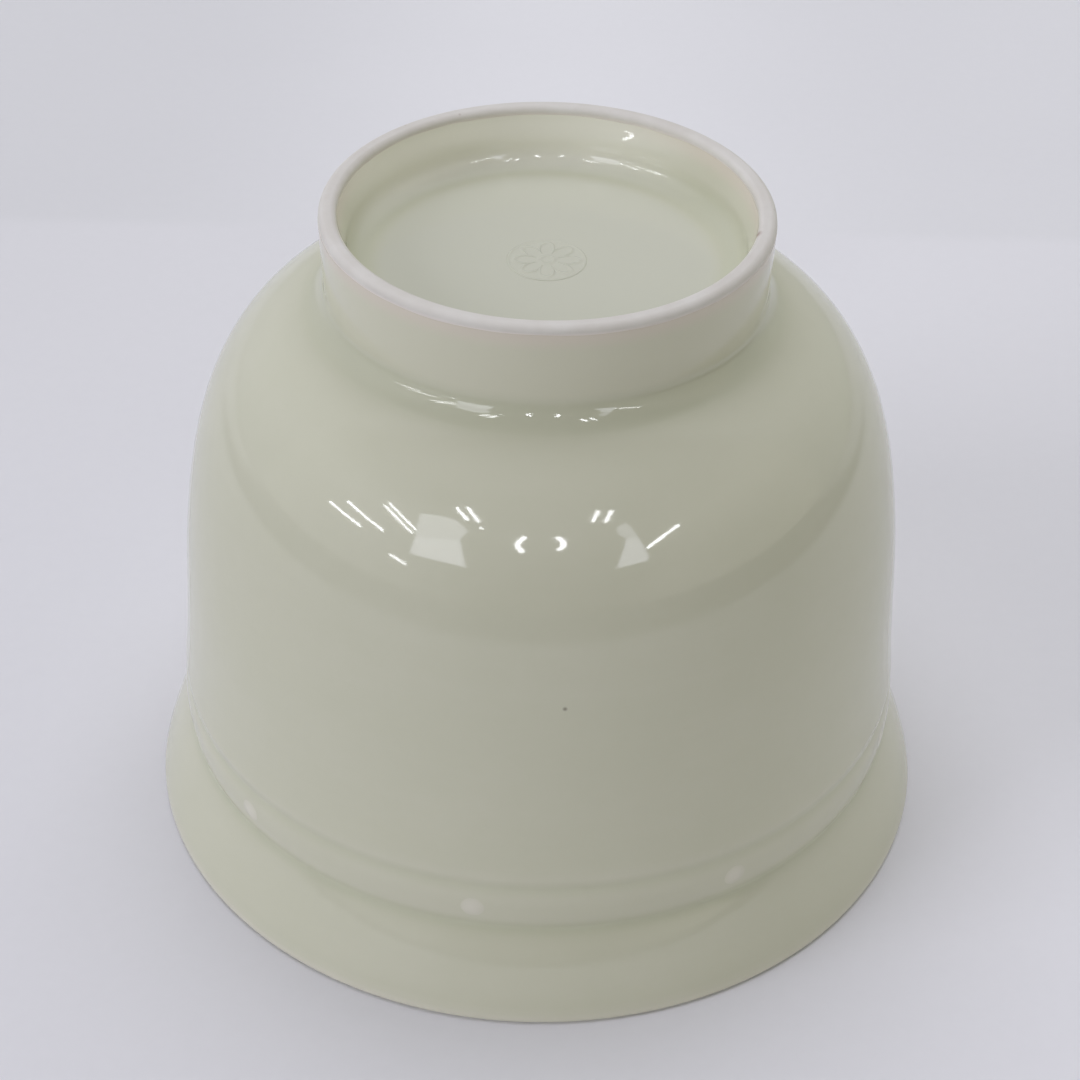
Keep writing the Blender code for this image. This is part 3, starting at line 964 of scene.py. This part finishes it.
def floor_material():
    """A plain pale board that ends in a dim room. It is painted a little lighter to the right and a
    little
    darker towards the front: painted light and shade. The dim room's floor is painted dark: painted
    shade.

    A second sheet starts past a soft line behind the bowl and is painted lightest in its middle: a
    painted pool of light.
    """
    material, nodes, inputs, place = new_material("pale_board")
    parts = nodes.add("ShaderNodeSeparateXYZ", Vector=place).outputs
    cloud = nodes.noise(place, *BOARD_CLOUD)
    fibre = nodes.noise(place, *BOARD_FIBRE)
    # Painted shade: the board darkens a little towards the front.
    board = nodes.mix(nodes.between(parts["Y"], BOARD_FRONT, BOARD_BACK), BOARD_NEAR_WITH_PAINTED_SHADE, BOARD_FAR)
    past_line = nodes.between(parts["Y"], BOARD_BACK - SHEET_EDGE_BLUR, BOARD_BACK + SHEET_EDGE_BLUR)
    board = nodes.mix(past_line, board, BACK_SHEET)
    # Painted shade: the floor past the board is coloured dark for the dim room.
    far_off = nodes.between(nodes.off_axis(place), DIM_START, DIM_FULL)
    not_behind = nodes.between(parts["Y"], DIM_BACK_START, DIM_BACK_FULL)
    board = nodes.mix(nodes.every(far_off, not_behind), board, DIM_FLOOR_PAINTED_SHADE)

    # Painted light: the board is coloured lighter to the right. The tone below mixes random tone with
    # this painted light.
    side = nodes.between(parts["X"], -BOARD_PAINTED_LIGHT_REACH, BOARD_PAINTED_LIGHT_REACH)
    # Painted light: the back sheet is coloured lighter in its middle, a painted pool of light.
    middle = nodes.between(nodes.math("ABSOLUTE", parts["X"]), SHEET_PAINTED_LIGHT_REACH, 0.0)
    tone_and_painted_light = nodes.centred(cloud, BOARD_CLOUD_AMOUNT)
    tone_and_painted_light = nodes.math("ADD", tone_and_painted_light, nodes.centred(fibre, BOARD_FIBRE_AMOUNT))
    tone_and_painted_light = nodes.math("ADD", tone_and_painted_light, nodes.centred(side, BOARD_PAINTED_LIGHT_GAIN))
    tone_and_painted_light = nodes.math("ADD", tone_and_painted_light, nodes.every(middle, past_line, SHEET_PAINTED_LIGHT))
    toned_and_painted_light = nodes.add("ShaderNodeHueSaturation", Color=board, Value=nodes.math("ADD", 1.0, tone_and_painted_light))
    rough = nodes.math("ADD", BOARD_ROUGHNESS, nodes.centred(fibre, BOARD_ROUGHNESS_AMOUNT))
    nodes.feed(inputs["Base Color"], toned_and_painted_light.outputs["Color"])
    nodes.feed(inputs["Roughness"], rough)
    nodes.feed(inputs["Normal"], nodes.bump(fibre, BOARD_FIBRE_HEIGHT))
    nodes.feed(inputs["Specular IOR Level"], BOARD_SPECULAR)
    return material


# The studio.


def build_floor(mouth_radius):
    half = FLOOR_REACH * mouth_radius
    mesh = bpy.data.meshes.new("pale_floor")
    corners = [(-half, -half, 0.0), (half, -half, 0.0), (half, half, 0.0), (-half, half, 0.0)]
    mesh.from_pydata(corners, [], [(0, 1, 2, 3)])
    mesh.materials.append(floor_material())
    floor = bpy.data.objects.new("pale_floor", mesh)
    bpy.context.scene.collection.objects.link(floor)


def build_world():
    """A soft room: a grey wall and ceiling behind, lighter sides in front and a dark ceiling there."""
    world = bpy.data.worlds.new("soft_studio")
    bpy.context.scene.world = world
    world.use_nodes = True
    tree = world.node_tree
    tree.nodes.clear()
    nodes = Nodes(tree)
    toward = nodes.add("ShaderNodeTexCoord").outputs["Generated"]
    parts = nodes.add("ShaderNodeSeparateXYZ", Vector=toward).outputs
    back = nodes.between(parts["Y"], BACK_WALL_START, BACK_WALL_FULL)
    left = nodes.between(parts["X"], LEFT_START, LEFT_FULL)
    right = nodes.between(parts["X"], RIGHT_START, RIGHT_FULL)
    high = nodes.between(parts["Z"], CEILING_START, CEILING_FULL)
    wall = nodes.mix(right, nodes.mix(left, BACK_MIDDLE, BACK_LEFT), BACK_RIGHT)
    room = nodes.mix(right, nodes.mix(left, FRONT_MIDDLE, FRONT_LEFT), FRONT_RIGHT)
    wall = nodes.mix(high, wall, BACK_CEILING)
    room = nodes.mix(high, room, FRONT_CEILING)
    background = nodes.add("ShaderNodeBackground", Color=nodes.mix(back, room, wall))
    output = nodes.add("ShaderNodeOutputWorld")
    tree.links.new(background.outputs[0], output.inputs["Surface"])


def direction(elevation, azimuth):
    """A unit direction. Azimuth 0 points to the camera's side and turns to its right."""
    up, turn = math.radians(elevation), math.radians(azimuth)
    return Vector((math.cos(up) * math.sin(turn), -math.cos(up) * math.cos(turn), math.sin(up)))


def lamp(name, start, end, width, radiance, colour):
    """A soft strip seen from the target between two (elevation, azimuth) directions.

    Its width is in degrees, and its radiance says how bright it looks.
    """
    target = Vector(LIGHT_TARGET)
    first = target + direction(*start) * LAMP_DISTANCE
    last = target + direction(*end) * LAMP_DISTANCE
    centre = (first + last) / 2
    along = (last - first).normalized()
    back = (centre - target).normalized()
    across = back.cross(along).normalized()
    along = across.cross(back)
    length = (last - first).length
    side = 2 * LAMP_DISTANCE * math.tan(math.radians(width) / 2)
    data = bpy.data.lights.new(name, "AREA")
    data.shape = "RECTANGLE"
    data.size = length
    data.size_y = side
    data.energy = radiance * math.pi * length * side
    data.color = colour
    light = bpy.data.objects.new(name, data)
    rotation = Matrix((along, across, back)).transposed()
    light.matrix_world = Matrix.Translation(centre) @ rotation.to_4x4()
    light.visible_camera = False
    bpy.context.scene.collection.objects.link(light)
    return light


def glint(source):
    """A source that shows in the glaze and casts no light of its own."""
    source.visible_diffuse = False
    return source


def window(name, radiance, corners):
    """A glowing flat shape, seen from the target between (elevation, azimuth) corners."""
    material = bpy.data.materials.new(name)
    material.use_nodes = True
    material.node_tree.nodes.clear()
    nodes = Nodes(material.node_tree)
    glow = nodes.add("ShaderNodeEmission", Color=WINDOW_COLOUR, Strength=radiance)
    output = nodes.add("ShaderNodeOutputMaterial")
    material.node_tree.links.new(glow.outputs[0], output.inputs["Surface"])
    mesh = bpy.data.meshes.new(name)
    verts = [Vector(LIGHT_TARGET) + direction(*corner) * LAMP_DISTANCE for corner in corners]
    mesh.from_pydata([tuple(v) for v in verts], [], [tuple(range(len(verts)))])
    mesh.materials.append(material)
    shape = bpy.data.objects.new(name, mesh)
    shape.visible_camera = False
    bpy.context.scene.collection.objects.link(shape)
    glint(shape)


def build_lights():
    for name, radiance, corners in WINDOWS:
        window(name, radiance, corners)
    for name, start, end, width in TUBES:
        glint(lamp(name, start, end, width, TUBE_RADIANCE, LAMP_COLOUR))
    for side, marks in (("left", RING_LEFT), ("right", RING_RIGHT)):
        for index, (start, end) in enumerate(zip(marks, marks[1:])):
            name = f"ring_{side}_{index + 1}"
            glint(lamp(name, start, end, RING_WIDTH, RING_RADIANCE, LAMP_COLOUR))
    for name, start, end, width, radiance in FILLS:
        lamp(name, start, end, width, radiance, FILL_COLOUR).visible_glossy = False


def build_camera(mouth_radius):
    pitch, roll = math.radians(CAMERA_PITCH), math.radians(CAMERA_ROLL)
    forward = Vector((0.0, math.cos(pitch), -math.sin(pitch)))
    side = Vector((1.0, 0.0, 0.0))
    above = Vector((0.0, math.sin(pitch), math.cos(pitch)))
    right = side * math.cos(roll) + above * math.sin(roll)
    up = above * math.cos(roll) - side * math.sin(roll)
    data = bpy.data.cameras.new("camera")
    data.sensor_width = SENSOR
    data.lens = CAMERA_LENS
    camera = bpy.data.objects.new("camera", data)
    place = Vector((CAMERA_SIDE, -CAMERA_BACK, CAMERA_HEIGHT)) * mouth_radius
    rotation = Matrix((right, up, -forward)).transposed()
    camera.matrix_world = Matrix.Translation(place) @ rotation.to_4x4()
    bpy.context.scene.collection.objects.link(camera)
    bpy.context.scene.camera = camera


def measure_foot():
    """The foot's radii and heights, in the row frame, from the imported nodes."""
    _, edge_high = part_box("foot_edge")
    _, ring_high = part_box("foot_ring")
    seal_low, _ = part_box("foot_seal")
    outer = edge_high.x + EDGE_INSET
    return {
        "outer": outer,
        "inner": outer - RIM_WIDTH,
        "top": edge_high.z,
        "glaze_top": ring_high.z - GLAZE_TOP_INSET,
        "floor": seal_low.z - SEAL_GAP,
    }


def main():
    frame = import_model()
    cad_low, cad_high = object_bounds()
    mouth_radius = (cad_high.x - cad_low.x) / 2
    foot = measure_foot()
    celadon = celadon_material("celadon_glaze", EVEN_GLAZE, foot["glaze_top"])
    pale = celadon_material("pale_celadon_glaze", PALE_GLAZE, foot["glaze_top"])
    bare = bare_material(foot["glaze_top"])
    outer = build_skin(foot, mouth_radius, celadon)
    build_bare_edge(foot, bare)
    bosses = sorted(n for n in frame["nodes"] if n.startswith("boss_"))
    build_sprigs(outer, bosses, pale)
    build_seal(foot, celadon)
    build_floor(mouth_radius)
    build_world()
    build_lights()
    build_camera(mouth_radius)
    bpy.context.scene.view_settings.view_transform = "Standard"


main()
